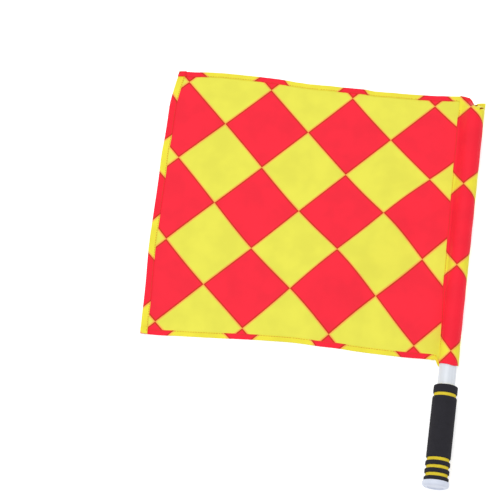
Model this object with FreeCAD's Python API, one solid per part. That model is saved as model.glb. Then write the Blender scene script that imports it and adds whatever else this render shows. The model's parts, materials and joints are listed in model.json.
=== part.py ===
import FreeCAD, Part

import math
import os

# Linesman flag, lying on the plane z = 0 as it does when it is put down. The pole runs along +Y from its
# end cap to its tip, the cloth spreads towards -X, and the origin is under the middle of the whole flag.
# Every length is in millimetres and every angle in degrees. Places along the pole are measured from the
# outer face of the end cap.

# Pole: a rigid white plastic tube
TUBE_RADIUS = 10.0
TUBE_WALL = 1.5
TUBE_LENGTH = 443.7

# End cap, moulded, with a boss that plugs the tube
CAP_RADIUS = 15.0
CAP_THICKNESS = 6.4
CAP_RIM_ROUND = 3.0
CAP_GRIP_SIDE_ROUND = 0.6
CAP_BOSS_LENGTH = 18.0
CAP_BOSS_WALL = 1.6
CAP_DISH_RADIUS = 9.0
CAP_DISH_DEPTH = 0.6

# Tip plug, moulded, which keeps the tube's edge off the cloth
PLUG_HEAD_THICKNESS = 2.0
PLUG_HEAD_ROUND = 0.9
PLUG_BOSS_LENGTH = 12.0
PLUG_BOSS_WALL = 1.6
PLUG_FIT = 0.05

# Foam grip: a yellow core on the tube, and black foam over it that is cut away in four grooves
CORE_RADIUS = 12.4
RIB_RADIUS = 13.9
BARREL_RADIUS = 13.75
COLLAR_RADIUS = 13.6
END_RING_LENGTH = 4.8
RIB_LENGTH = 5.1
BARREL_LENGTH = 70.1
COLLAR_LENGTH = 9.4
GROOVE_LENGTH = 3.65
FOAM_ROUND = 0.9
GLUE_LINE = 0.02

# Flag cloth: the panel's height and width are between its folds, and the hems are two more layers
CLOTH_THICKNESS = 0.5
CLOTH_HEIGHT = 325.0
CLOTH_WIDTH = 338.0
HEM_WIDTH = 6.5
PANEL_COUNT = 3
FOLD_GAP = 0.7
HEM_SETBACK = 1.9
BARE_NECK = 30.0

# Sleeve: the cloth runs under the pole, round its far side, over it and back down to the seam. The cloth
# was sewn a little out of line with the pole, so that the seam is nearer to the pole at the handle's end.
CLOTH_SKEW = 1.23
SLEEVE_CLEARANCE = 0.4
SEAM_OFFSET = 10.45
SEAM_FLANGE = 3.5
SLEEVE_SLACK_LOW = 1.3
SLEEVE_SLACK_HIGH = 0.4
SLEEVE_CORNER = 4.0
SLEEVE_DROP = 4.0
SLEEVE_SPANS = 3
TIP_CLEARANCE = 0.5
CLOSING_LENGTH = 9.0
CLOSED_RADIUS = 2.0
CLOSED_CORNER = 0.8
CLOSED_HEM = 6.0
CUT_OVERRUN = 1.0

# Sewing: lockstitch along every hem, the seam and the closed end, and two bar tacks
STITCH_PITCH = 3.0
STITCH_LENGTH = 2.3
STITCH_WIDTH = 0.5
STITCH_HEIGHT = 0.25
STITCH_RAMP = 0.6
STITCH_INSET = 1.5
TACK_LENGTH = 4.0
TACK_WIDTH = 1.2
TACK_HEIGHT = 0.6
TACK_SPACING = 8.0

# Where the pieces lie along the pole
FOAM_START = CAP_THICKNESS
LOWER_RIB_START = FOAM_START + END_RING_LENGTH + GROOVE_LENGTH
UPPER_RIB_START = LOWER_RIB_START + RIB_LENGTH + GROOVE_LENGTH
BARREL_START = UPPER_RIB_START + RIB_LENGTH + GROOVE_LENGTH
COLLAR_START = BARREL_START + BARREL_LENGTH + GROOVE_LENGTH
FOAM_END = COLLAR_START + COLLAR_LENGTH
TUBE_END = CAP_THICKNESS + TUBE_LENGTH
TIP = TUBE_END + PLUG_HEAD_THICKNESS
CLOTH_BOTTOM = FOAM_END + BARE_NECK

# How the pole lies: it rests on its end cap and, at its tip, on the cloth that is wrapped round it
SLEEVE_INNER = TUBE_RADIUS + SLEEVE_CLEARANCE
SLEEVE_OUTER = SLEEVE_INNER + CLOTH_THICKNESS
REST_POINT = CAP_THICKNESS - CAP_GRIP_SIDE_ROUND
TILT = math.degrees(math.atan((CAP_RADIUS - SLEEVE_OUTER) / (TIP - REST_POINT)))
COS_TILT = math.cos(math.radians(TILT))
SIN_TILT = math.sin(math.radians(TILT))
AXIS_START_HEIGHT = CAP_RADIUS * COS_TILT + REST_POINT * SIN_TILT

# How the cloth lies: u runs across it from the seam, where it is zero, towards the pole, and v up it from
# the bottom fold
COS_SKEW = math.cos(math.radians(CLOTH_SKEW))
SIN_SKEW = math.sin(math.radians(CLOTH_SKEW))
SEAM_FOOT_X = -SEAM_OFFSET
SEAM_FOOT_Y = CLOTH_BOTTOM * COS_TILT
PANEL_WIDTH = CLOTH_WIDTH / PANEL_COUNT
SEAM_STACK = CLOTH_THICKNESS + 2 * CLOTH_THICKNESS
SLEEVE_BOTTOM_Y = SEAM_FOOT_Y - SLEEVE_DROP
SLEEVE_TIP_Y = (TIP + TIP_CLEARANCE) * COS_TILT
SLEEVE_CLOSED_Y = SLEEVE_TIP_Y + CLOSING_LENGTH
SLEEVE_TOP_Y = SLEEVE_CLOSED_Y + CLOSED_HEM

# The middle of the whole flag, which the origin lies under
LEFT_EDGE = SEAM_FOOT_X - CLOTH_WIDTH * COS_SKEW - CLOTH_HEIGHT * SIN_SKEW
TOP_EDGE = SEAM_FOOT_Y + CLOTH_HEIGHT * COS_SKEW
MIDDLE = FreeCAD.Vector((LEFT_EDGE + CAP_RADIUS) / 2, TOP_EDGE / 2, 0)

X_AXIS = FreeCAD.Vector(1, 0, 0)
Y_AXIS = FreeCAD.Vector(0, 1, 0)
Z_AXIS = FreeCAD.Vector(0, 0, 1)
SAME_RADIUS = 1e-6


def save(name, shape):
    """Write one node, moved from the pole's frame to the flag's origin."""
    moved = shape.copy()
    moved.translate(-MIDDLE)
    moved.exportStep(os.path.join("parts", name + ".step"))


def on_pole(shape):
    """Lay a shape that was made along +Y from the origin on the pole's tilted line."""
    tilted = shape.copy()
    tilted.rotate(FreeCAD.Vector(), X_AXIS, -TILT)
    tilted.translate(FreeCAD.Vector(0, 0, AXIS_START_HEIGHT))
    return tilted


def rod(radius, start, length):
    """Solid cylinder along +Y."""
    return Part.makeCylinder(radius, length, FreeCAD.Vector(0, start, 0), Y_AXIS)


def rim(shape, radius, place):
    """The circular edge of that radius at that place along +Y."""
    return [
        edge
        for edge in shape.Edges
        if isinstance(edge.Curve, Part.Circle)
        and abs(edge.Curve.Radius - radius) < SAME_RADIUS
        and abs(edge.Curve.Center.y - place) < SAME_RADIUS
    ]


def foam_sleeve(inner, outer, start, length):
    """Ring of foam with rounded outer edges."""
    body = rod(outer, start, length)
    rims = rim(body, outer, start) + rim(body, outer, start + length)
    body = body.makeFillet(FOAM_ROUND, rims)
    return body.cut(rod(inner, start - CUT_OVERRUN, length + 2 * CUT_OVERRUN))


def pole_tube():
    """The tube itself, open at both ends."""
    bore = rod(TUBE_RADIUS - TUBE_WALL, CAP_THICKNESS - CUT_OVERRUN, TUBE_LENGTH + 2 * CUT_OVERRUN)
    return rod(TUBE_RADIUS, CAP_THICKNESS, TUBE_LENGTH).cut(bore)


def end_cap():
    """Rounded cap with a shallow dish in its face and a hollow boss in the tube."""
    boss_radius = TUBE_RADIUS - TUBE_WALL - PLUG_FIT
    disc = rod(CAP_RADIUS, 0, CAP_THICKNESS)
    disc = disc.makeFillet(CAP_RIM_ROUND, rim(disc, CAP_RADIUS, 0))
    disc = disc.makeFillet(CAP_GRIP_SIDE_ROUND, rim(disc, CAP_RADIUS, CAP_THICKNESS))
    disc = disc.cut(rod(CAP_DISH_RADIUS, -CUT_OVERRUN, CAP_DISH_DEPTH + CUT_OVERRUN))
    boss = rod(boss_radius, CAP_THICKNESS, CAP_BOSS_LENGTH)
    hollow = rod(boss_radius - CAP_BOSS_WALL, CAP_THICKNESS, CAP_BOSS_LENGTH + CUT_OVERRUN)
    return disc.fuse(boss.cut(hollow)).removeSplitter()


def tip_plug():
    """Low rounded head on the tube's end, with a hollow boss in the tube."""
    boss_radius = TUBE_RADIUS - TUBE_WALL - PLUG_FIT
    head = rod(TUBE_RADIUS, TUBE_END, PLUG_HEAD_THICKNESS)
    head = head.makeFillet(PLUG_HEAD_ROUND, rim(head, TUBE_RADIUS, TIP))
    boss = rod(boss_radius, TUBE_END - PLUG_BOSS_LENGTH, PLUG_BOSS_LENGTH)
    hollow = rod(boss_radius - PLUG_BOSS_WALL, TUBE_END - PLUG_BOSS_LENGTH - CUT_OVERRUN,
                 PLUG_BOSS_LENGTH + CUT_OVERRUN)
    return head.fuse(boss.cut(hollow)).removeSplitter()


def grip_core():
    """Yellow foam under the whole grip, which shows in the grooves."""
    inner = TUBE_RADIUS + GLUE_LINE
    length = FOAM_END - FOAM_START
    return rod(CORE_RADIUS, FOAM_START, length).cut(
        rod(inner, FOAM_START - CUT_OVERRUN, length + 2 * CUT_OVERRUN))


def black_foam(outer, start, length):
    """One stretch of the black foam, glued to the core."""
    return foam_sleeve(CORE_RADIUS + GLUE_LINE, outer, start, length)


def axis_height(y):
    """Height of the pole's line over the plane that the flag lies on."""
    return AXIS_START_HEIGHT - y * SIN_TILT / COS_TILT


def seam_x(y):
    """Where the seam's edge is, at that place along the flag."""
    return SEAM_FOOT_X - (y - SEAM_FOOT_Y) * SIN_SKEW / COS_SKEW


def far_wall_x(y):
    """Where the sleeve's inner face is on the pole's far side."""
    share = (y - SLEEVE_BOTTOM_Y) / (SLEEVE_TIP_Y - SLEEVE_BOTTOM_Y)
    return SLEEVE_INNER + SLEEVE_SLACK_LOW + share * (SLEEVE_SLACK_HIGH - SLEEVE_SLACK_LOW)


def on_circle(centre, radius, angle):
    """Point of a circle in a plane across the flag; the angle is from +X towards +Z."""
    turn = math.radians(angle)
    return centre + FreeCAD.Vector(radius * math.cos(turn), 0, radius * math.sin(turn))


def arc(centre, radius, first, last):
    """Arc of such a circle."""
    middle = (first + last) / 2
    return Part.Arc(*(on_circle(centre, radius, angle) for angle in (first, middle, last))).toShape()


def line(first, last):
    """Straight edge."""
    return Part.LineSegment(first, last).toShape()


def loop_section(y, far_x, pole_centre_z, pole_radius, corner, outside):
    """Closed outline of the sleeve across the flag: its outer face, or the space inside it.

    From the seam it follows the floor, turns up round a corner, touches the circle about the pole on its far
    side, goes over it and comes down to the seam's flange.
    """
    layer = CLOTH_THICKNESS if outside else 0
    floor_z = 0 if outside else CLOTH_THICKNESS
    radius = pole_radius + layer
    corner_radius = corner + layer
    quarter, full_turn = 90, 360
    pole = FreeCAD.Vector(0, y, pole_centre_z)
    foot = FreeCAD.Vector(far_x - corner, y, CLOTH_THICKNESS + corner)
    rise = pole - foot
    lean = math.acos((corner_radius - radius) / rise.Length)
    far_side = math.degrees(math.atan2(rise.z, rise.x) - lean)
    flange_end = FreeCAD.Vector(seam_x(y) + SEAM_FLANGE, y, SEAM_STACK if outside else floor_z)
    fall = flange_end - pole
    direction = math.degrees(math.atan2(fall.z, fall.x)) % full_turn
    near_side = direction - math.degrees(math.acos(radius / fall.Length))
    floor_start = FreeCAD.Vector(seam_x(y) if outside else flange_end.x, y, floor_z)
    edges = [
        line(floor_start, on_circle(foot, corner_radius, -quarter)),
        arc(foot, corner_radius, -quarter, far_side),
        line(on_circle(foot, corner_radius, far_side), on_circle(pole, radius, far_side)),
        arc(pole, radius, far_side, quarter),
        arc(pole, radius, quarter, near_side),
        line(on_circle(pole, radius, near_side), flange_end),
    ]
    if outside:
        flange_edge = FreeCAD.Vector(floor_start.x, y, SEAM_STACK)
        edges += [line(flange_end, flange_edge), line(flange_edge, floor_start)]
    return Part.Wire(edges)


def sleeve_shell(outside):
    """Solid inside the sleeve's outer face, or the space in it, from the mouth to the closed end."""
    step = (SLEEVE_TIP_Y - SLEEVE_BOTTOM_Y) / SLEEVE_SPANS
    places = [SLEEVE_BOTTOM_Y + step * index for index in range(SLEEVE_SPANS + 1)]
    if not outside:
        places[0] -= CUT_OVERRUN
    sections = [
        loop_section(y, far_wall_x(y), axis_height(y), SLEEVE_INNER, SLEEVE_CORNER, outside)
        for y in places
    ]
    closed = loop_section(SLEEVE_CLOSED_Y, far_wall_x(SLEEVE_TIP_Y), CLOTH_THICKNESS + CLOSED_RADIUS,
                          CLOSED_RADIUS, CLOSED_CORNER, outside)
    tube = Part.makeLoft(sections, True, True)
    return tube.fuse(Part.makeLoft([sections[-1], closed], True, True)), closed


def flat_piece(corners, low, high):
    """Flat piece with that outline, given as places across and along the flag, between two heights."""
    points = [FreeCAD.Vector(x, y, low) for x, y in corners]
    outline = Part.makePolygon(points + points[:1])
    return Part.Face(outline).extrude(FreeCAD.Vector(0, 0, high - low))


def pole_sleeve():
    """The cloth's sleeve, open at the handle's end and sewn flat past the pole's tip."""
    outer, closed_outline = sleeve_shell(True)
    inner, _ = sleeve_shell(False)
    end_wall = Part.Face(closed_outline).extrude(Y_AXIS * CLOTH_THICKNESS)
    right = far_wall_x(SLEEVE_TIP_Y) + CLOTH_THICKNESS
    sewn_end = flat_piece(
        [(seam_x(SLEEVE_CLOSED_Y), SLEEVE_CLOSED_Y), (right, SLEEVE_CLOSED_Y),
         (right, SLEEVE_TOP_Y), (seam_x(SLEEVE_TOP_Y), SLEEVE_TOP_Y)],
        0, 2 * CLOTH_THICKNESS)
    return outer.cut(inner).fuse([end_wall, sewn_end]).removeSplitter()


def on_cloth(shape):
    """Turn a shape from the cloth's own frame, u across and v up, into the pole's frame."""
    turned = shape.copy()
    turned.rotate(FreeCAD.Vector(), Z_AXIS, CLOTH_SKEW)
    turned.translate(FreeCAD.Vector(SEAM_FOOT_X, SEAM_FOOT_Y, 0))
    return turned


def cloth_box(u_span, v_span, low, thickness):
    """Flat rectangle of cloth."""
    corner = FreeCAD.Vector(u_span[0], v_span[0], low)
    box = Part.makeBox(u_span[1] - u_span[0], v_span[1] - v_span[0], thickness, corner)
    return on_cloth(box)


def stitch():
    """One stitch along +X, with ramped ends, standing on z = 0 and centred across y = 0."""
    side = [(0, 0), (STITCH_LENGTH, 0), (STITCH_LENGTH - STITCH_RAMP, STITCH_HEIGHT),
            (STITCH_RAMP, STITCH_HEIGHT)]
    points = [FreeCAD.Vector(x, -STITCH_WIDTH / 2, z) for x, z in side]
    return Part.Face(Part.makePolygon(points + points[:1])).extrude(Y_AXIS * STITCH_WIDTH)


def stitch_row(start, run, height, upright):
    """Stitches in one row from a place on the cloth, across it or, upright, up it."""
    count = int((run - STITCH_LENGTH) / STITCH_PITCH) + 1
    margin = (run - STITCH_LENGTH - (count - 1) * STITCH_PITCH) / 2
    quarter = 90
    one = stitch()
    if upright:
        one.rotate(FreeCAD.Vector(), Z_AXIS, quarter)
    along = Y_AXIS if upright else X_AXIS
    first = FreeCAD.Vector(start[0], start[1], height)
    row = [one.translated(first + along * (margin + index * STITCH_PITCH)) for index in range(count)]
    return on_cloth(Part.makeCompound(row))


def sleeve_seam_thread():
    """Stitches along the seam, on the sleeve's flange."""
    return stitch_row((STITCH_INSET, 0), (SLEEVE_CLOSED_Y - SEAM_FOOT_Y) / COS_SKEW, SEAM_STACK, True)


def sleeve_top_thread():
    """Stitches across the sleeve's sewn end."""
    v = (SLEEVE_CLOSED_Y - SEAM_FOOT_Y + STITCH_INSET) / COS_SKEW
    run = SLEEVE_OUTER - seam_x(SLEEVE_CLOSED_Y) - 2 * STITCH_INSET
    return stitch_row((STITCH_INSET, v), run, 2 * CLOTH_THICKNESS, False)


def sleeve_tacks():
    """Two bar tacks that hold the sewn end, by the pole's line and beside it."""
    y = SLEEVE_TOP_Y - STITCH_INSET - TACK_WIDTH / 2
    tacks = [
        Part.makeBox(TACK_LENGTH, TACK_WIDTH, TACK_HEIGHT,
                     FreeCAD.Vector(x - TACK_LENGTH / 2, y - TACK_WIDTH / 2, 2 * CLOTH_THICKNESS))
        for x in (0, TACK_SPACING)
    ]
    return Part.makeCompound(tacks)


def save_cloth_panel(name, index):
    """One panel of the cloth between two fold lines, with its hems and their stitches."""
    right = -index * PANEL_WIDTH - FOLD_GAP / 2
    left = -(index + 1) * PANEL_WIDTH + FOLD_GAP / 2
    last = index == PANEL_COUNT - 1
    if index == 0:
        right = -FOLD_GAP
    if last:
        left = -CLOTH_WIDTH
    hem_right = right - HEM_SETBACK
    hem_left = left + (HEM_WIDTH if last else HEM_SETBACK)
    hem_height = 2 * CLOTH_THICKNESS
    inner_line = HEM_WIDTH - STITCH_INSET
    save(name + "_panel", cloth_box((left, right), (0, CLOTH_HEIGHT), 0, CLOTH_THICKNESS))
    edges = {
        "_bottom": (0, inner_line),
        "_top": (CLOTH_HEIGHT - HEM_WIDTH, CLOTH_HEIGHT - inner_line),
    }
    for edge, (hem_v, thread_v) in edges.items():
        hem = cloth_box((hem_left, hem_right), (hem_v, hem_v + HEM_WIDTH), CLOTH_THICKNESS, hem_height)
        thread = stitch_row((hem_left, thread_v), hem_right - hem_left, SEAM_STACK, False)
        save(name + edge + "_hem", hem)
        save(name + edge + "_thread", thread)
    if last:
        hem = cloth_box((left, left + HEM_WIDTH), (0, CLOTH_HEIGHT), CLOTH_THICKNESS, hem_height)
        save(name + "_edge_hem", hem)
        save(name + "_edge_thread", stitch_row((left + inner_line, 0), CLOTH_HEIGHT, SEAM_STACK, True))


def main():
    """Write every node."""
    os.makedirs("parts", exist_ok=True)
    save("pole_tube", on_pole(pole_tube()))
    save("end_cap", on_pole(end_cap()))
    save("tip_plug", on_pole(tip_plug()))
    save("grip_core", on_pole(grip_core()))
    save("grip_end_ring", on_pole(black_foam(RIB_RADIUS, FOAM_START, END_RING_LENGTH)))
    save("grip_rib_lower", on_pole(black_foam(RIB_RADIUS, LOWER_RIB_START, RIB_LENGTH)))
    save("grip_rib_upper", on_pole(black_foam(RIB_RADIUS, UPPER_RIB_START, RIB_LENGTH)))
    save("grip_barrel", on_pole(black_foam(BARREL_RADIUS, BARREL_START, BARREL_LENGTH)))
    save("grip_collar", on_pole(black_foam(COLLAR_RADIUS, COLLAR_START, COLLAR_LENGTH)))
    save("pole_sleeve", pole_sleeve())
    save("sleeve_seam_thread", sleeve_seam_thread())
    save("sleeve_top_thread", sleeve_top_thread())
    save("sleeve_tacks", sleeve_tacks())
    for index, name in enumerate(("hoist", "middle", "fly")):
        save_cloth_panel(name, index)


main()
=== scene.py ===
"""Linesman flag: the finished look of its pole, foam grip and check cloth.

The flag lies on a pale floor as it was put down. Lengths are in metres, +Y runs along the pole from its end
cap to its tip, -X from the pole to the cloth's fly edge, and +Z up from the floor.
"""

import json
import logging
import math
from dataclasses import dataclass, field
from enum import Enum
from functools import lru_cache
from typing import Callable, Mapping, Sequence

import bpy
import numpy as np
from mathutils import Matrix, Vector


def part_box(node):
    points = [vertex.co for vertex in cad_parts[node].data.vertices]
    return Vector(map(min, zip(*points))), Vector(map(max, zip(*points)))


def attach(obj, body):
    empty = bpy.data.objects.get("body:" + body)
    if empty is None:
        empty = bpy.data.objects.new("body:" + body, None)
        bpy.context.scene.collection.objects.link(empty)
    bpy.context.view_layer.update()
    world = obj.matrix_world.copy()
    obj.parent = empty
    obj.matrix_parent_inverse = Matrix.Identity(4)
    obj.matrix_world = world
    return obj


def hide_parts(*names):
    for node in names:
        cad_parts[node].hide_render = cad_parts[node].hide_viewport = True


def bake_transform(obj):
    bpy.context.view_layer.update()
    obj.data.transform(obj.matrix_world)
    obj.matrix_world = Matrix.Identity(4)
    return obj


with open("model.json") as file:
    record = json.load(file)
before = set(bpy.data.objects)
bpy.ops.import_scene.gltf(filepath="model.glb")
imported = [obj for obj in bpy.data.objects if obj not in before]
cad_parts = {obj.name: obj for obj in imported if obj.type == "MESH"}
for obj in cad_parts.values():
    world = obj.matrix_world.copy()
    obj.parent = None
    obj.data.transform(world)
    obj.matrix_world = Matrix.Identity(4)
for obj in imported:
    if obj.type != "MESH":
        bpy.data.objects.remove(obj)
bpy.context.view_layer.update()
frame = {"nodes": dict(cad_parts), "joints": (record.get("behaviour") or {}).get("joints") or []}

LOG = logging.getLogger("linesman_flag")

MM = 0.001
QUARTER = math.pi / 2
HALF_TURN = math.pi
FULL_TURN = 2 * math.pi
CREASE = math.radians(70)

Colour = tuple[float, float, float, float]
Socket = bpy.types.NodeSocket


class Slot(Enum):
    """Material slots of the record, one for each kind of new piece."""

    CLOTH = "check_cloth"
    THREAD = "thread"
    TACK = "tack_thread"
    BLACK_FOAM = "black_foam"
    YELLOW_FOAM = "yellow_foam"


class Body(Enum):
    """Bodies that the pieces ride on."""

    POLE = "pole"
    SLEEVE = "sleeve"
    HOIST = "hoist"
    MIDDLE = "middle"
    FLY = "fly"


CLOTH_BODIES = (Body.SLEEVE, Body.HOIST, Body.MIDDLE, Body.FLY)


# Materials


def linear(code: str) -> Colour:
    """Turn an sRGB hex value into a linear colour.

    Args:
        code: Six hex digits.

    Returns:
        Red, green, blue and an alpha of one.
    """
    full, knee, slope, offset, power = 255, 0.04045, 12.92, 0.055, 2.4
    shares = [int(code[place:place + 2], 16) / full for place in (0, 2, 4)]
    red, green, blue = (s / slope if s <= knee else ((s + offset) / (1 + offset)) ** power for s in shares)
    return red, green, blue, 1.0


def add_node(
    material: bpy.types.Material, kind: str, inputs: Mapping[int | str, object], **settings: object
) -> bpy.types.Node:
    """Add one shader node.

    Args:
        material: Material that gets the node.
        kind: Blender's name of the node's type.
        inputs: What its sockets get: plain values, or the outputs of other nodes.
        settings: The node's own properties.

    Returns:
        The node.
    """
    tree = material.node_tree
    made = tree.nodes.new(kind)
    for name, value in settings.items():
        setattr(made, name, value)
    for socket, value in inputs.items():
        if isinstance(value, Socket):
            tree.links.new(value, made.inputs[socket])
        else:
            made.inputs[socket].default_value = value
    return made


@dataclass(frozen=True)
class Finish:
    """What a surface is made of, and how its maker left it."""

    name: str
    roughness: float
    ior: float
    relief: float
    sheen: float = 0.0
    gloss: float = 0.5

    def pattern(self, material: bpy.types.Material) -> tuple[Socket, Socket]:
        """Add the surface's nodes and give the outputs that hold its colour and its height from 0 to 1."""
        raise NotImplementedError

    def material(self) -> bpy.types.Material:
        """Build the material, or give it back if it is already there.

        Returns:
            A material with one Principled shader.
        """
        known = bpy.data.materials.get(self.name)
        if known:
            return known
        made = bpy.data.materials.new(self.name)
        made.use_nodes = True
        shader = made.node_tree.nodes["Principled BSDF"]
        values = {"Roughness": self.roughness, "IOR": self.ior, "Sheen Weight": self.sheen,
                  "Specular IOR Level": self.gloss}
        for socket, value in values.items():
            shader.inputs[socket].default_value = value
        paint, height = self.pattern(made)
        bump = add_node(made, "ShaderNodeBump", {"Distance": self.relief, "Height": height})
        made.node_tree.links.new(paint, shader.inputs["Base Color"])
        made.node_tree.links.new(bump.outputs["Normal"], shader.inputs["Normal"])
        return made


@dataclass(frozen=True)
class PrintedTaffeta(Finish):
    """Thin plain-woven polyester, dye-printed right through in two inks.

    The check's sides run at 45 degrees to the yarns. Where the inks meet, the red bleeds darker and the
    yellow pales to peach over about a millimetre. The real yarns are 0.2 mm apart, too fine to show, so the
    weave is drawn three times as coarse.
    """

    yellow: str = "EFEB52"
    red: str = "FF263D"
    yellow_edge: str = "FFB455"
    red_edge: str = "CE3000"
    side: float = 70 * MM
    edge_core: float = 0.75 * MM
    edge_reach: float = 2.25 * MM
    yarn: float = 0.6 * MM
    yarn_wobble: float = 0.6
    yarn_wobble_scale: float = 0.4
    blotch: float = 30 * MM
    blotch_layers: int = 2
    blotch_span: tuple[float, float] = (0.3, 0.7)
    tone_span: tuple[float, float] = (0.955, 1.03)

    def pattern(self, material: bpy.types.Material) -> tuple[Socket, Socket]:
        """Args:
            material: Material that gets the nodes.

        Returns:
            The outputs that hold its colour and its height from 0 to 1.
        """
        cloth = add_node(material, "ShaderNodeUVMap", {}, uv_map=PRINT_MAP).outputs["UV"]
        turned = {"Vector": cloth, "Rotation": (0, 0, -QUARTER / 2), "Scale": (1 / self.side,) * 3}
        checks = add_node(material, "ShaderNodeMapping", turned).outputs["Vector"]
        plain, edge = (
            add_node(material, "ShaderNodeTexChecker", {
                "Vector": checks, "Scale": 1, "Color1": linear(first), "Color2": linear(second)
            }).outputs["Color"]
            for first, second in ((self.yellow, self.red), (self.yellow_edge, self.red_edge)))
        split = add_node(material, "ShaderNodeSeparateXYZ", {"Vector": checks})
        gaps = {
            socket: add_node(material, "ShaderNodeMath", {0: split.outputs[socket], 1: 1 / 2},
                             operation="PINGPONG").outputs["Value"]
            for socket in (0, 1)
        }
        nearest = add_node(material, "ShaderNodeMath", gaps, operation="MINIMUM")
        bleed = add_node(material, "ShaderNodeMapRange", {
            "Value": nearest.outputs["Value"], "From Min": self.edge_core / self.side,
            "From Max": self.edge_reach / self.side, "To Min": 1, "To Max": 0,
        }, interpolation_type="SMOOTHSTEP")
        ink = add_node(material, "ShaderNodeMix", {
            MIX_SHARE: bleed.outputs["Result"], MIX_LOW: plain, MIX_HIGH: edge}, data_type="RGBA")
        blotches = add_node(material, "ShaderNodeTexNoise", {
            "Vector": cloth, "Scale": 1 / self.blotch, "Detail": self.blotch_layers})
        tone = add_node(material, "ShaderNodeMapRange", {
            "Value": blotches.outputs["Fac"],
            "From Min": self.blotch_span[0], "From Max": self.blotch_span[1],
            "To Min": self.tone_span[0], "To Max": self.tone_span[1],
        }, interpolation_type="SMOOTHSTEP")
        dyed = add_node(material, "ShaderNodeHueSaturation", {
            "Color": ink.outputs[MIX_RESULT], "Value": tone.outputs["Result"]})
        return dyed.outputs["Color"], self.weave(material, cloth)

    def weave(self, material: bpy.types.Material, cloth: Socket) -> Socket:
        """Lay warp and weft, each a row of round yarns.

        Args:
            material: Material that gets the nodes.
            cloth: Coordinates on the cloth.

        Returns:
            The output that holds the height.
        """
        blender_wave_unit = 20
        yarns = {"Vector": cloth, "Scale": FULL_TURN / (blender_wave_unit * self.yarn),
                 "Distortion": self.yarn_wobble, "Detail": 1, "Detail Scale": self.yarn_wobble_scale}
        rows = {
            socket: add_node(material, "ShaderNodeTexWave", yarns, bands_direction=axis).outputs["Fac"]
            for socket, axis in enumerate("XY")
        }
        return add_node(material, "ShaderNodeMath", rows, operation="MULTIPLY").outputs["Value"]


@dataclass(frozen=True)
class Foam(Finish):
    """Closed-cell EVA foam, ground to size: matt, with fine open pores and a tone that varies a little."""

    dark: str = "27262B"
    light: str = "2C2B31"
    pore: float = 0.7 * MM
    blotch: float = 9 * MM
    blotch_layers: int = 4
    tone_span: tuple[float, float] = (0.05, 0.4)

    def pattern(self, material: bpy.types.Material) -> tuple[Socket, Socket]:
        """Pit the surface with pores, which vary its tone together with larger blotches. The pits come out
        darker, which is painted shade in the pores.

        Args:
            material: Material that gets the nodes.

        Returns:
            The outputs that hold its colour and its height from 0 to 1.
        """
        place = add_node(material, "ShaderNodeTexCoord", {}).outputs["Object"]
        pores = add_node(
            material, "ShaderNodeTexVoronoi", {"Vector": place, "Scale": 1 / self.pore}).outputs["Distance"]
        blotches = add_node(material, "ShaderNodeTexNoise", {
            "Vector": place, "Scale": 1 / self.blotch, "Detail": self.blotch_layers})
        tone = add_node(
            material, "ShaderNodeMath", {0: blotches.outputs["Fac"], 1: pores}, operation="MULTIPLY")
        share = add_node(material, "ShaderNodeMapRange", {
            "Value": tone.outputs["Value"], "From Min": self.tone_span[0], "From Max": self.tone_span[1],
        }, interpolation_type="SMOOTHSTEP")
        paint = add_node(material, "ShaderNodeMix", {
            MIX_SHARE: share.outputs["Result"], MIX_LOW: linear(self.dark), MIX_HIGH: linear(self.light),
        }, data_type="RGBA")
        return paint.outputs[MIX_RESULT], pores


@dataclass(frozen=True)
class Mottled(Finish):
    """A plain surface whose tone and relief vary a little, each with a grain of a real size."""

    dark: str = ""
    light: str = ""
    grain: float = 0.3 * MM
    grain_layers: int = 2
    bump_grain: float = 0.3 * MM
    bump_layers: int = 2
    stretch: float = 1.0

    def pattern(self, material: bpy.types.Material) -> tuple[Socket, Socket]:
        """Mottle the tone and the height, drawn out along the flag by the stretch.

        Args:
            material: Material that gets the nodes.

        Returns:
            The outputs that hold its colour and its height from 0 to 1.
        """
        place = add_node(material, "ShaderNodeTexCoord", {}).outputs["Object"]
        laid = {"Vector": place, "Scale": (1, 1 / self.stretch, 1)}
        along = add_node(material, "ShaderNodeMapping", laid).outputs["Vector"]
        tone, height = (
            add_node(material, "ShaderNodeTexNoise", {"Vector": along, "Scale": 1 / grain, "Detail": layers})
            for grain, layers in ((self.grain, self.grain_layers), (self.bump_grain, self.bump_layers)))
        paint = add_node(material, "ShaderNodeMix", {
            MIX_SHARE: tone.outputs["Fac"], MIX_LOW: linear(self.dark), MIX_HIGH: linear(self.light),
        }, data_type="RGBA")
        return paint.outputs[MIX_RESULT], height.outputs["Fac"]


PRINT_MAP = "cloth"
MIX_SHARE, MIX_LOW, MIX_HIGH, MIX_RESULT = 0, 6, 7, 2
TAFFETA = PrintedTaffeta("printed_polyester_taffeta", 0.62, 1.5, 0.04 * MM, 0.04, 0.2)
# Where it lies on more cloth, less light comes through and the inks look deeper.
TAFFETA_STACK = PrintedTaffeta(
    "printed_polyester_taffeta_over_itself", 0.62, 1.5, 0.04 * MM, 0.04, 0.2, yellow="F6E940", red="FF2039")
# Twisted sewing thread has a soft lustre, broken by its plies. Its colour is painted darker than the thread's
# own, so that the rows also carry the painted shade of the groove along the hems' inner edges and the seam's
# edge.
HEM_THREAD_AND_EDGE_SHADE = Mottled("spun_thread_and_painted_edge_shade", 0.7, 1.5, 0.05 * MM, dark="BC4A1A", light="CE5C20")
# The bar tacks' thread is painted dark brown, which also stands in for the painted shade of the small open
# gap near the sleeve's sewn end.
TACK_THREAD_AND_GAP_SHADE = Mottled(
    "brown_thread_and_painted_gap_shade", 0.7, 1.5, 0.05 * MM, gloss=0.1, dark="843800", light="B05A06")
BLACK_EVA = Foam("ground_black_eva_foam", 0.9, 1.45, 0.08 * MM, gloss=0.25)
YELLOW_EVA = Foam("ground_yellow_eva_foam", 0.85, 1.45, 0.08 * MM, gloss=0.25, dark="E0C52E", light="EAD23A")
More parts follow.
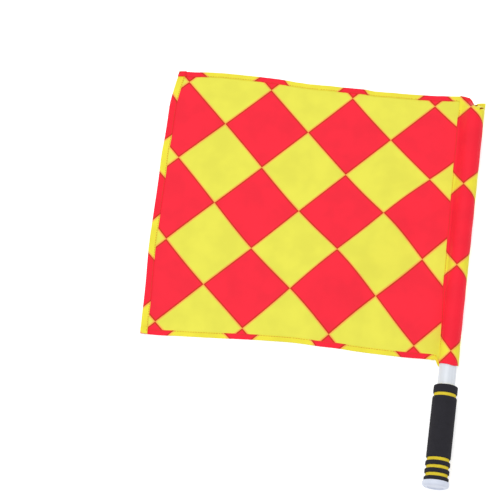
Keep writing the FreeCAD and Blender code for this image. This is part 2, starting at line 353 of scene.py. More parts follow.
# Rigid PVC, drawn through a die, is smooth, with faint streaks 90 mm long.
TUBE_PVC = Mottled(
    "extruded_white_pvc", 0.34, 1.53, 0.01 * MM, dark="DDE3EC", light="E8EDF4", grain=1.6 * MM,
    grain_layers=3, bump_grain=1.6 * MM, bump_layers=3, stretch=90 / 1.6)
# Moulded polyethylene has a bluish cast and a soft gloss over the mould's fine spark texture.
CAP_PE = Mottled(
    "moulded_polyethylene", 0.42, 1.51, 0.01 * MM, dark="D5DBED", light="E3E9F7", grain=8 * MM,
    bump_grain=0.5 * MM, bump_layers=3)


# Modelling


def activate(piece: bpy.types.Object) -> None:
    """Select one object alone and make it the active one.

    Args:
        piece: The object.
    """
    bpy.ops.object.select_all(action="DESELECT")
    piece.select_set(True)
    bpy.context.view_layer.objects.active = piece


def apply_modifier(piece: bpy.types.Object, kind: str, **settings: object) -> None:
    """Give a piece a modifier and apply it.

    Args:
        piece: Mesh object.
        kind: Blender's name of the modifier's type.
        settings: The modifier's own properties.
    """
    activate(piece)
    modifier = piece.modifiers.new(kind.title(), kind)
    for name, value in settings.items():
        setattr(modifier, name, value)
    bpy.ops.object.modifier_apply(modifier=modifier.name)


def select_parts(
    piece: bpy.types.Object, kind: str, wanted: Callable[[bpy.types.bpy_struct], bool]
) -> None:
    """Select some of a mesh's parts and leave it in edit mode.

    Args:
        piece: Mesh object.
        kind: VERT, EDGE or FACE.
        wanted: Says whether one vertex, edge or face is selected.
    """
    bpy.ops.object.mode_set(mode="OBJECT")
    activate(piece)
    bpy.ops.object.mode_set(mode="EDIT")
    bpy.ops.mesh.select_mode(type=kind)
    bpy.ops.mesh.select_all(action="DESELECT")
    bpy.ops.object.mode_set(mode="OBJECT")
    mesh = piece.data
    for part in {"VERT": mesh.vertices, "EDGE": mesh.edges, "FACE": mesh.polygons}[kind]:
        part.select = wanted(part)
    bpy.ops.object.mode_set(mode="EDIT")


def finish_piece(piece: bpy.types.Object, name: str, slot: Slot, *finishes: Finish) -> bpy.types.Object:
    """Name a piece, smooth it and give it its finishes.

    Args:
        piece: Mesh object.
        name: Its name.
        slot: Material slot of the record. Not used.
        finishes: One finish for each material index of its faces.

    Returns:
        The piece.
    """
    piece.name = name
    piece.data.name = name
    activate(piece)
    bpy.ops.object.shade_smooth_by_angle(angle=CREASE)
    kept = [face.material_index for face in piece.data.polygons]
    piece.data.materials.clear()
    for finish in finishes:
        piece.data.materials.append(finish.material())
    piece.data.polygons.foreach_set("material_index", kept)
    LOG.info("%s: %d faces", name, len(piece.data.polygons))
    return piece


def smoothstep(share: float) -> float:
    """Ease a share from 0 to 1, held at its ends."""
    held = min(max(share, 0.0), 1.0)
    return held * held * (3 - 2 * held)


def eased(stations: Sequence[tuple[float, float]], at: float) -> float:
    """Read a soft curve through stations, level at each of them and beyond both ends.

    Args:
        stations: Places in rising order, each with its value.
        at: Place to read.

    Returns:
        The value there.
    """
    for (start, low), (end, high) in zip(stations, stations[1:]):
        if at <= end:
            return low + (high - low) * smoothstep((at - start) / (end - start))
    return stations[-1][1]


@lru_cache(maxsize=None)
def slopes(stations: tuple[tuple[float, float], ...]) -> tuple[float, ...]:
    """Slope of a smooth curve at each of its stations."""
    places, values = np.transpose(stations)
    return tuple(float(slope) for slope in np.gradient(values, places))


def drawn(stations: tuple[tuple[float, float], ...], at: float) -> float:
    """Read a smooth curve through stations, held beyond both ends.

    Args:
        stations: Places in rising order, each with its value.
        at: Place to read.

    Returns:
        The value there.
    """
    for index, ((start, low), (end, high)) in enumerate(zip(stations, stations[1:])):
        if at <= end:
            span = end - start
            share = max((at - start) / span, 0.0)
            rest = 1 - share
            bend = span * (slopes(stations)[index] * rest - slopes(stations)[index + 1] * share)
            return low + (high - low) * smoothstep(share) + bend * share * rest
    return stations[-1][1]


def mix(low: float, high: float, share: float) -> float:
    """Go a share of the way from one value to another."""
    return low + (high - low) * share


def spread(first: float, last: float, count: int) -> list[float]:
    """Evenly spaced values with both ends."""
    return [first + (last - first) * index / (count - 1) for index in range(count)]


def grid_cloth(
    name: str,
    columns: int,
    rows: int,
    place: Callable[[int, int], Vector],
    printed: Callable[[int, int], tuple[float, float]],
    folded: Callable[[int, int], bool],
    thickness: float,
) -> bpy.types.Object:
    """Lay a grid of cloth by a rule and give it its thickness.

    Args:
        name: The piece's name.
        columns: How many points lie across it.
        rows: How many points lie along it.
        place: Where the point of a column and row lies.
        printed: Where that point is on the printed cloth.
        folded: Whether it lies on more cloth, which shows through it.
        thickness: Thickness of one layer.

    Returns:
        A closed mesh.
    """
    bpy.ops.object.select_all(action="DESELECT")
    bpy.ops.mesh.primitive_grid_add(x_subdivisions=columns - 1, y_subdivisions=rows - 1, size=1)
    piece = bpy.context.active_object
    mesh = piece.data
    half = 0.5
    spots = [
        (round((point.co.x + half) * (columns - 1)), round((point.co.y + half) * (rows - 1)))
        for point in mesh.vertices
    ]
    mesh.vertices.foreach_set("co", [length for spot in spots for length in place(*spot)])
    ink = [printed(*spot) for spot in spots]
    layer = mesh.uv_layers.active
    layer.name = PRINT_MAP
    layer.data.foreach_set("uv", [length for loop in mesh.loops for length in ink[loop.vertex_index]])
    for face in mesh.polygons:
        face.material_index = int(all(folded(*spots[corner]) for corner in face.vertices))
    mesh.update()
    apply_modifier(piece, "SOLIDIFY", thickness=thickness, offset=0, use_rim=True)
    piece.name = name
    return piece


# The frame's lines and planes


def joint_line(name: str) -> tuple[Vector, Vector]:
    """Give a point and the direction of a joint's axis."""
    found = next(joint for joint in frame["joints"] if joint["name"] == name)
    return Vector(found["pos_m"]), Vector(found["axis"])


def box_of(node: str) -> tuple[Vector, Vector]:
    """Give the lowest and highest corner of a CAD node."""
    low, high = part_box(node)
    return Vector(low), Vector(high)


@dataclass(frozen=True)
class PoleLine:
    """The pole's slightly tilted line."""

    point: Vector
    direction: Vector

    @classmethod
    def from_frame(cls) -> "PoleLine":
        """Read the line from the joint that the sleeve turns on."""
        return cls(*joint_line("sleeve_swivel"))

    def height(self, y: float) -> float:
        """Height of the line over the floor."""
        return self.point.z + (y - self.point.y) * self.direction.z / self.direction.y

    def ring_of(self, node: str) -> tuple[Vector, float, float]:
        """Work out a round node from its box.

        Args:
            node: Name of a node that is turned about the line.

        Returns:
            Its centre, its radius and its length along the line.
        """
        low, high = box_of(node)
        radius = (high.x - low.x) / 2
        tilt_sin, tilt_cos = abs(self.direction.z), self.direction.y
        length = (high.y - low.y - 2 * radius * tilt_sin) / tilt_cos
        return (low + high) / 2, radius, length

    def lay(self, centre: Vector) -> Matrix:
        """Turn +Z to the pole's direction and move the origin to a centre."""
        turn = Vector((0, 0, 1)).rotation_difference(self.direction).to_matrix().to_4x4()
        return Matrix.Translation(centre) @ turn


@dataclass(frozen=True)
class ClothPlane:
    """Where the cloth lies: u runs across it from the seam towards the pole, v up from the bottom fold."""

    foot: Vector
    u_axis: Vector
    v_axis: Vector
    width: float
    height: float
    hem: float

    @staticmethod
    def flat_size(node: str, v_axis: Vector) -> tuple[float, float]:
        """Work out a turned rectangle's size from its box.

        Args:
            node: Name of a flat node of the cloth.
            v_axis: Direction of its height.

        Returns:
            Its width and its height.
        """
        low, high = box_of(node)
        reach_x, reach_y = high.x - low.x, high.y - low.y
        cos, sin = v_axis.y, abs(v_axis.x)
        square = cos * cos - sin * sin
        return (reach_x * cos - reach_y * sin) / square, (reach_y * cos - reach_x * sin) / square

    @classmethod
    def from_frame(cls) -> "ClothPlane":
        """Read the cloth's place and size from its joints and nodes.

        Returns:
            The plane.
        """
        pivot, v_axis = joint_line("seam_fold")
        u_axis = Vector((v_axis.y, -v_axis.x, 0))
        hem, height = cls.flat_size("fly_edge_hem", v_axis)
        hoist_low, hoist_high = box_of("hoist_panel")
        hoist_width, _ = cls.flat_size("hoist_panel", v_axis)
        middle = (hoist_low + hoist_high) / 2
        half_gap = (pivot - middle).dot(u_axis) - hoist_width / 2
        foot = pivot + u_axis * half_gap - v_axis * height / 2
        foot.z = 0
        edge_low, edge_high = box_of("fly_edge_hem")
        width = (foot - (edge_low + edge_high) / 2).dot(u_axis) + hem / 2
        return cls(foot, u_axis, v_axis, width, height, hem)

    def place(self, u: float, v: float, z: float) -> Vector:
        """Turn a place on the cloth into a place in the room."""
        return self.foot + self.u_axis * u + self.v_axis * v + Vector((0, 0, z))

    def u_of(self, point: Vector) -> float:
        """Place across the cloth of a point in the room."""
        return (point - self.foot).dot(self.u_axis)

    def v_of(self, point: Vector) -> float:
        """Place up the cloth of a point in the room."""
        return (point - self.foot).dot(self.v_axis)

    def seam_x(self, y: float) -> float:
        """Where the seam is, at that place along the flag."""
        return self.foot.x + (y - self.foot.y) * self.v_axis.x / self.v_axis.y

    def y_at(self, x: float, v: float) -> float:
        """How far along the flag a place is that has this x and lies this far up the cloth."""
        return self.foot.y + (v - (x - self.foot.x) * self.v_axis.x) / self.v_axis.y


# Pole and grip


@dataclass
class Pole:
    """Tube, end cap and tip plug, which keep their own shapes."""

    finishes: dict[str, Finish] = field(
        default_factory=lambda: {"pole_tube": TUBE_PVC, "end_cap": CAP_PE, "tip_plug": CAP_PE})

    def build(self) -> None:
        """Give each node its finish."""
        for node, finish in self.finishes.items():
            piece = frame["nodes"][node]
            piece.data.materials.clear()
            piece.data.materials.append(finish.material())
            LOG.info("%s: dressed", node)


@dataclass
class Grip:
    """Foam grip: a yellow core, and five stretches of black foam glued over it.

    Each is ground round on the tube, so its rims are soft and its surface is never quite even.
    """

    line: PoleLine
    black: Sequence[str] = ("grip_end_ring", "grip_rib_lower", "grip_rib_upper", "grip_barrel", "grip_collar")
    core: str = "grip_core"
    glue_line: float = 0.02 * MM
    rim_round: float = 1.1 * MM
    core_round: float = 0.3 * MM
    ring_step: float = 1.2 * MM
    sides: int = 120
    rim_segments: int = 4
    unevenness: float = 0.12 * MM
    lump: float = 7 * MM

    def ring(self, radius: float, bore: float, length: float, rounding: float) -> bpy.types.Object:
        """Turn a ring with soft outer rims about +Z.

        Args:
            radius: Outer radius.
            bore: Inner radius.
            length: Length along the axis.
            rounding: Radius of the two outer rims.

        Returns:
            A closed ring at the origin.
        """
        bpy.ops.object.select_all(action="DESELECT")
        bpy.ops.mesh.primitive_plane_add(size=1, rotation=(QUARTER, 0, 0))
        piece = bpy.context.active_object
        bpy.ops.object.transform_apply(location=False, rotation=True, scale=True)
        bpy.ops.object.mode_set(mode="EDIT")
        bpy.ops.mesh.select_all(action="SELECT")
        bpy.ops.transform.resize(value=(radius - bore, 1, length))
        bpy.ops.transform.translate(value=((radius + bore) / 2, 0, 0))
        middle = (radius + bore) / 2
        select_parts(piece, "VERT", lambda point: point.co.x > middle)
        bpy.ops.mesh.bevel(affect="VERTICES", offset=rounding, segments=self.rim_segments)
        bpy.ops.mesh.select_all(action="SELECT")
        bpy.ops.mesh.delete(type="ONLY_FACE")
        select_parts(piece, "EDGE", lambda edge: self.is_long(piece, edge, length / 2))
        bpy.ops.mesh.subdivide(number_cuts=max(1, round(length / self.ring_step)))
        bpy.ops.mesh.select_all(action="SELECT")
        bpy.ops.mesh.spin(steps=self.sides, angle=FULL_TURN, center=(0, 0, 0), axis=(0, 0, 1))
        bpy.ops.mesh.select_all(action="SELECT")
        bpy.ops.mesh.remove_doubles(threshold=self.glue_line / 4)
        bpy.ops.mesh.normals_make_consistent(inside=False)
        bpy.ops.object.mode_set(mode="OBJECT")
        return piece

    @staticmethod
    def is_long(piece: bpy.types.Object, edge: bpy.types.MeshEdge, least: float) -> bool:
        """Whether an edge is longer than a length."""
        first, last = (piece.data.vertices[index].co for index in edge.vertices)
        return (first - last).length > least

    def roughen(self, piece: bpy.types.Object, seed: float) -> None:
        """Leave the grinding's low unevenness on a ring.

        Args:
            piece: The ring.
            seed: Where in the pattern it lies.
        """
        texture = bpy.data.textures.new(piece.name + "_unevenness", "CLOUDS")
        texture.noise_scale = self.lump
        piece.location.z = seed
        apply_modifier(piece, "DISPLACE", texture=texture, texture_coords="GLOBAL",
                       strength=self.unevenness, mid_level=1 / 2)
        piece.location.z = 0

    def build(self) -> list[bpy.types.Object]:
        """Build every stretch of foam.

        Returns:
            The new pieces.
        """
        _, core_radius, _ = self.line.ring_of(self.core)
        _, tube_radius, _ = self.line.ring_of("pole_tube")
        made = []
        for index, node in enumerate((self.core, *self.black)):
            centre, radius, length = self.line.ring_of(node)
            is_core = node == self.core
            bore = (tube_radius if is_core else core_radius) + self.glue_line
            piece = self.ring(radius, bore, length, self.core_round if is_core else self.rim_round)
            if not is_core:
                self.roughen(piece, index * self.lump)
            piece.data.transform(self.line.lay(centre))
            slot, finish = (Slot.YELLOW_FOAM, YELLOW_EVA) if is_core else (Slot.BLACK_FOAM, BLACK_EVA)
            finish_piece(piece, node + "_foam", slot, finish)
            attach(piece, Body.POLE.value)
            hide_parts(node)
            made.append(piece)
        return made


# Cloth


@dataclass(frozen=True)
class Lay:
    """One line of points along a hemmed edge.

    Attributes:
        across: Distance from the edge's outer fold towards the middle of the cloth.
        turn: How far the cloth has been folded there: 0 is the cloth itself, half a turn the hem's top layer
            and a full turn the raw edge that is tucked between them.
        cloth: The same place on the unfolded cloth, negative in the hem.
    """

    across: float
    turn: float
    cloth: float


@dataclass(frozen=True)
class Hem:
    """A hem: the cloth's edge, folded over twice and sewn down."""

    width: float
    layer: float
    loft: float = 0.22 * MM
    stitch_inset: float = 0.8 * MM
    raw_inset: float = 1.2 * MM
    arc_points: int = 5

    def lays(self) -> list[Lay]:
        """List the hem's lines from the raw edge, round both folds, to where the cloth leaves it.

        Returns:
            The lines.
        """
        gap = self.layer
        inner_start, inner_end = self.width, self.width + gap
        tucked = [Lay(self.width - reach, FULL_TURN, -inner_end - reach)
                  for reach in (self.width - self.raw_inset, self.width / 2, gap)]
        inner = [Lay(self.width - gap / 2, HALF_TURN + HALF_TURN * share, -inner_start - gap * share)
                 for share in spread(1, 0, self.arc_points)]
        stitch_line = self.width - self.stitch_inset
        top_lines = (self.width - gap, stitch_line + gap, stitch_line, stitch_line - gap,
                     self.width / 2, self.width / 4, 2 * gap)
        top = [Lay(across, HALF_TURN, -across) for across in top_lines]
        outer = [Lay(gap, HALF_TURN * share, gap * (1 - 2 * share))
                 for share in spread(1, 0, self.arc_points)]
        base = [Lay(across, 0, across) for across in (2 * gap, self.width / 4, self.width / 2, self.width)]
        return tucked + inner + top + outer + base

    def fold(self, lay: Lay, height: float, stack: float) -> tuple[float, float]:
        """Fold a point over twice with the cloth that it is on, whose layers are pressed together.

        Args:
            lay: Line that the point is on.
            height: The point's height over the underside of the unfolded cloth.
            stack: Thickness of that cloth, with any hem that is already on it.

        Returns:
            Its distance from the edge and its height over the floor.
        """
        puff, pressed = self.puff(lay), self.layer / stack
        if lay.turn <= HALF_TURN:
            middle = 3 * stack / 2
            radius = middle - height
            reach = radius * pressed * math.sin(lay.turn)
            return lay.across - reach, middle + puff - radius * math.cos(lay.turn)
        middle, radius, turned = 2 * stack, stack - height, lay.turn - HALF_TURN
        reach = radius * pressed * math.sin(turned)
        return lay.across + reach, middle + puff + radius * math.cos(turned)

    def puff(self, lay: Lay) -> float:
        """Work out how far the hem's top layer stands up between its outer fold and its stitches.

        Args:
            lay: Line on the hem.

        Returns:
            The height that it gains.
        """
        raised = smoothstep(lay.turn / HALF_TURN) if lay.turn <= HALF_TURN else 1.0
        between = lay.across / (self.width - self.stitch_inset)
        return self.loft * raised * math.sin(HALF_TURN * min(max(between, 0.0), 1.0)) ** 2


@dataclass(frozen=True)
class Swell:
    """A soft low fold of the cloth: its middle, half length, half width, slant and height."""

    u: float
    v: float
    length: float
    width: float
    slant: float
    height: float

    def rise(self, u: float, v: float) -> float:
        """Work out the height that it adds.

        Args:
            u: Place across the cloth.
            v: Place up the cloth.

        Returns:
            The height.
        """
        cos, sin = math.cos(self.slant), math.sin(self.slant)
        along = (u - self.u) * cos + (v - self.v) * sin
        across = (v - self.v) * cos - (u - self.u) * sin
        return self.height * math.exp(-((along / self.length) ** 2) - (across / self.width) ** 2)


@dataclass(frozen=True)
class Waves:
    """How the cloth lies: low swells, ripples that die away from the sewn edges, and a rise to the seam."""

    swells: tuple[Swell, ...] = (
        Swell(-95 * MM, 140 * MM, 95 * MM, 36 * MM, QUARTER / 2, 6 * MM),
        Swell(-330 * MM, 240 * MM, 70 * MM, 50 * MM, QUARTER, 2.5 * MM),
    )
    level: float = 1.2 * MM
    across: float = 210 * MM
    along: float = 260 * MM
    phases: tuple[float, float] = (0.6, 2.1)
    ripple: float = 0.55 * MM
    ripple_length: float = 24 * MM
    ripple_reach: float = 13 * MM
    ripple_drift: float = 3.7
    calm_by_seam: float = 28 * MM
    lift: tuple[tuple[float, float], ...] = ((0, 2), (60, 6.5), (265, 6.5), (325, 1.5))
    lift_reach: float = 45 * MM

    def height(self, plane: ClothPlane, u: float, v: float) -> float:
        """Work out how high the cloth's underside lies over the floor.

        Args:
            plane: Where the cloth lies.
            u: Place across the cloth.
            v: Place up the cloth.

        Returns:
            The height.
        """
        across, along = u / self.across, v / self.along
        slant = math.sin(FULL_TURN * (across + along / 2) + self.phases[0])
        cross = math.sin(FULL_TURN * (along - across / 3) + self.phases[1])
        level = self.level * (2 + slant + cross) / 4 + sum(swell.rise(u, v) for swell in self.swells)
        near = ((v, u), (plane.height - v, u + self.ripple_length / 3), (plane.width + u, v))
        for distance, run in near:
            phase = FULL_TURN * run / self.ripple_length
            drift = phase / self.ripple_drift + distance / self.ripple_reach
            uneven = math.sin(phase + 2 * math.sin(drift))
            level += self.ripple * (1 + uneven) / 2 * math.exp(-abs(distance) / self.ripple_reach)
        by_seam = 1 - min(max(-u / self.lift_reach, 0.0), 1.0)
        return level * smoothstep(-u / self.calm_by_seam) + self.seam_height(v) * by_seam * by_seam

    def seam_height(self, v: float) -> float:
        """Height of the cloth's underside at the seam, where the pole holds it up."""
        return eased(self.lift, v / MM) * MM


@dataclass(frozen=True)
class Pull:
    """A place where sewing and handling drew the print off its straight lines, in millimetres."""

    u: float
    v: float
    reach: float
    across: float
    up: float


PULLS = (
    Pull(-355, 165, 110, -0.6, 2.8), Pull(-125, 87, 72, -0.8, 7.5), Pull(3, 44, 56, -3.0, -1.7),
    Pull(-217, 136, 68, -0.8, -3.7), Pull(-67, 340, 67, -3.6, -2.7), Pull(-350, 62, 91, -2.7, -4.0),
    Pull(-37, 169, 56, -1.5, 7.5),
)


@dataclass(frozen=True)
class Edges:
    """How far the sewn folds wander from straight lines, while the print stays where it is.

    Each is a list of places along the fold, in millimetres, with the shift of the fold there. By the seam the
    bottom fold ends in a rounded tab, which the sleeve is sewn on.
    """

    bottom: tuple[tuple[float, float], ...] = (
        (-341, -1.2), (-325, -1.4), (-312, -1.0), (-296, 0.1), (-285, 0.65), (-241, 2.95), (-224, 4.0),
        (-193, 5.2), (-172, 5.8), (-153, 5.5), (-140, 4.8), (-112, 4.3), (-101, 3.5), (-90, 3.0), (-56, 2.2),
        (-33, 1.9), (-16, 2.3), (-7, 2.0), (-3.5, 1.5), (-1.8, -2.5), (0.5, -5.2), (3, -5.8))
    top: tuple[tuple[float, float], ...] = (
        (-339, 0.8), (-330, 1.9), (-318, 2.4), (-306, 3.7), (-284, 4.7), (-262, 4.7), (-242, 4.5),
        (-227, 4.2),
        (-211, 3.2), (-193, 1.7), (-181, 1.1), (-157, 1.1), (-144, 0.6), (-127, 0.7), (-113, 0.3),
        (-103, -0.8), (-87, -0.6), (-73, -0.5), (-46, -0.1), (-17, 1.4), (-2, 2.4))
    fly: tuple[tuple[float, float], ...] = (
        (0, -4.1), (9, -4.6), (32, -5.2), (57, -5.9), (87, -7.5), (105, -8.3), (137, -8.2), (187, -7.8),
        (225, -7.9), (240, -7.1), (267, -6.7), (283, -6.6), (296, -5.3), (311, -3.0), (325, -0.5))

    @staticmethod
    def shift(stations: tuple[tuple[float, float], ...], at: float) -> float:
        """Read one of the lists, in metres."""
        return drawn(stations, at / MM) * MM


@dataclass
class Cloth:
    """The cloth past the seam, in three sheets that meet where nothing bends.

    Each sheet crosses one fold line. Hems, folds and waves run
    through all three alike. The bottom hem was sewn first, the fly hem over it and the top hem last.
    """

    plane: ClothPlane
    thickness: float = 0.28 * MM
    layer: float = 0.34 * MM
    column_step: float = 1.5 * MM
    row_step: float = 2.4 * MM
    hem_share: float = 0.96
    fly_hem_share: float = 1.22
    tab_reach: float = 9 * MM
    tuck: float = 3.0 * MM
    bend_start: float = 3 * MM
    bend_end: float = 17 * MM
    seam_bend: float = 10 * MM
    print_origin: tuple[float, float] = (325 * MM, -17 * MM)
    waves: Waves = field(default_factory=Waves)
    edges: Edges = field(default_factory=Edges)

    def __post_init__(self) -> None:
        """Work out the rows, which all sheets share, the fold lines and the lines where the sheets meet."""
        self.hem = Hem(self.plane.hem * self.hem_share, self.layer)
        self.fly_hem = Hem(self.plane.hem * self.fly_hem_share, self.layer)
        edge = self.hem.lays()
        inner = edge[-1].across
        count = round((self.plane.height - 2 * inner) / self.row_step)
        middle = [Lay(v, 0, v) for v in spread(inner, self.plane.height - inner, count)[1:-1]]
        self.rows = [(lay, False) for lay in edge + middle] + [(lay, True) for lay in reversed(edge)]
        self.folds = [
            self.plane.u_of(joint_line(name)[0]) for name in ("seam_fold", "hoist_fold", "fly_fold")]
        _, first, second = self.folds
        self.meets = [first / 2, (first + second) / 2]

    def strip(self, lay: Lay, from_top: bool, across: float, u: float) -> tuple[float, float]:
        """Move one row with the edges that wander.

        Args:
            lay: The row's line.
            from_top: Whether it is counted from the top fold.
            across: Its distance from that fold, once it is folded.
            u: Place across the cloth.

        Returns:
            Its place up the cloth and its place on the printed cloth.
        """
        low, high = (self.edges.shift(fold, u) for fold in (self.edges.bottom, self.edges.top))
        if from_top:
            return self.plane.height - across + high, self.plane.height - lay.cloth + high
        inner = self.hem.width
        shift = mix(low, high, min(max((lay.cloth - inner) / (self.plane.height - 2 * inner), 0.0), 1.0))
        return across + shift, lay.cloth + shift

    def stack(self, nearest: float, hem: Hem) -> float:
        """Thickness of the cloth at a distance from one of its folds, with that edge's hem."""
        cover = 1 - smoothstep((nearest - hem.width) / (4 * self.layer))
        return self.layer + cover * (2 * self.layer + hem.loft / 4)

    def point(self, column: Lay, row: tuple[Lay, bool]) -> tuple[Vector, tuple[float, float]]:
        """Lay one point of the cloth.

        Args:
            column: Its line across the cloth, counted from the fly fold.
            row: Its line up the cloth, and whether that is counted from the top fold.

        Returns:
            Its place in the room and its place on the printed cloth.
        """
        lay, from_top = row
        bare = self.layer / 2
        if from_top:
            across, height = self.fly_hem.fold(column, bare, self.layer)
            up, height = self.hem.fold(lay, height, self.stack(column.across, self.fly_hem))
        else:
            up, height = self.hem.fold(lay, bare, self.layer)
            across, height = self.fly_hem.fold(column, height, self.stack(lay.across, self.hem))
        v, printed_v = self.strip(lay, from_top, up, column.across - self.plane.width)
        fly_reach = self.plane.width + self.folds[-1]
        shift = self.edges.shift(self.edges.fly, v) * min(max(1 - column.cloth / fly_reach, 0.0), 1.0)
        u = across - self.plane.width + shift
        height += self.waves.height(self.plane, u, v)
        printed_u = column.cloth - self.plane.width + shift
        return self.plane.place(u, v, height), self.print_at(printed_u, printed_v)

    def print_at(self, u: float, v: float) -> tuple[float, float]:
        """Find which place of the print lies at a place on the unfolded cloth.

        Args:
            u: Place across the cloth.
            v: Place up the cloth.

        Returns:
            The place on the print.
        """
        across, up = 0.0, 0.0
        for pull in PULLS:
            distance = math.hypot(u / MM - pull.u, v / MM - pull.v) / pull.reach
            share = math.exp(-distance * distance) * MM
            across += pull.across * share
            up += pull.up * share
        return self.print_origin[0] + u - across, self.print_origin[1] + v - up

    def columns(self, right: float, left: float) -> list[Lay]:
        """List the lines of a sheet, with the fly hem if it reaches it.

        Args:
            right: Place across the cloth of its right end.
            left: Place of its left end.

        Returns:
            The lines from left to right.
        """
        start, hem_lays = left + self.plane.width, []
        if start <= 0:
            hem_lays = self.fly_hem.lays()
            start = hem_lays.pop().across
        end = right + self.plane.width
        places = spread(start, end, max(2, round((end - start) / self.column_step) + 1))
        tab = [(a + b) / 2 for a, b in zip(places, places[1:]) if a > self.plane.width - self.tab_reach]
        return hem_lays + [Lay(across, 0, across) for across in sorted(places + tab)]

    def sheet(self, name: str, right: float, left: float) -> bpy.types.Object:
        """Build one sheet.

        Args:
            name: The piece's name.
            right: Place across the cloth of its right end.
            left: Place of its left end.

        Returns:
            The new piece.
        """
        columns = self.columns(right, left)
        laid = [[self.point(column, row) for row in self.rows] for column in columns]
        piece = grid_cloth(name, len(columns), len(self.rows), lambda i, j: laid[i][j][0],
                           lambda i, j: laid[i][j][1],
                           lambda i, j: columns[i].turn > 0 or self.rows[j][0].turn > 0, self.thickness)
        return finish_piece(piece, name, Slot.CLOTH, TAFFETA, TAFFETA_STACK)

    def build(self) -> list[bpy.types.Object]:
        """Build the three sheets.

        Returns:
            The new pieces, from the seam to the fly edge.
        """
        first, second = self.meets
        spans = [(self.tuck, first), (first, second), (second, -self.plane.width)]
        made = []
        for index, body in enumerate(CLOTH_BODIES[1:]):
            right, left = spans[index]
            piece = self.sheet(body.value + "_cloth", right, left)
            self.follow(piece, body)
            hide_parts(*(f"{body.value}_{part}" for part in ("panel", "top_hem", "bottom_hem")))
            if body is Body.FLY:
                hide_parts("fly_edge_hem")
            made.append(piece)
        return made

    def follow(self, piece: bpy.types.Object, body: Body) -> None:
        """Bake a piece's transform and work out where the cloth between one body and the one before it starts
        and ends its bend; the piece is not bent.

        Args:
            piece: Sheet or stitches.
            body: The body farther from the pole.
        """
        index = CLOTH_BODIES.index(body) - 1
        ends = [(-self.tuck, -self.tuck - self.seam_bend)]
        ends += [(fold + self.bend_start, fold - self.bend_end) for fold in self.folds[1:]]
        start, end = (self.plane.place(u, self.plane.height / 2, 0) for u in ends[index])
        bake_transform(piece)
        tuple(start)
        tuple(end)

    def cut(self, index: int) -> tuple[float, float]:
        """Work out the flat size of one sheet, with its hems opened out.

        Args:
            index: Which sheet, counted from the pole.

        Returns:
            Its width and its height.
        """
        edges = [self.tuck, *self.meets, -self.plane.width]
        across = edges[index] - edges[index + 1]
        fly_hem = 2 * self.fly_hem.width if index == len(self.meets) else 0
        return across + fly_hem, self.plane.height + 4 * self.hem.width


# Sleeve


class Stretch(Enum):
    """Stretches of the sleeve's section, in order along the cloth from the seam."""

    FLOOR = "floor"
    CORNER = "corner"
    WALL = "wall"
    TOP = "top"
    SLOPE = "slope"
    FLANGE = "flange"
    EDGE = "edge"
    UNDER = "under"


STRETCHES = tuple(Stretch)
OVER_THE_POLE = (Stretch.WALL, Stretch.TOP, Stretch.SLOPE)


@dataclass(frozen=True)
class Thread:
    """One line along the sleeve: the stretch that it is in, and how far along it."""

    stretch: Stretch
    share: float

    @property
    def place(self) -> float:
        """Rank along the section, which grows by one at each stretch's end."""
        return STRETCHES.index(self.stretch) + self.share


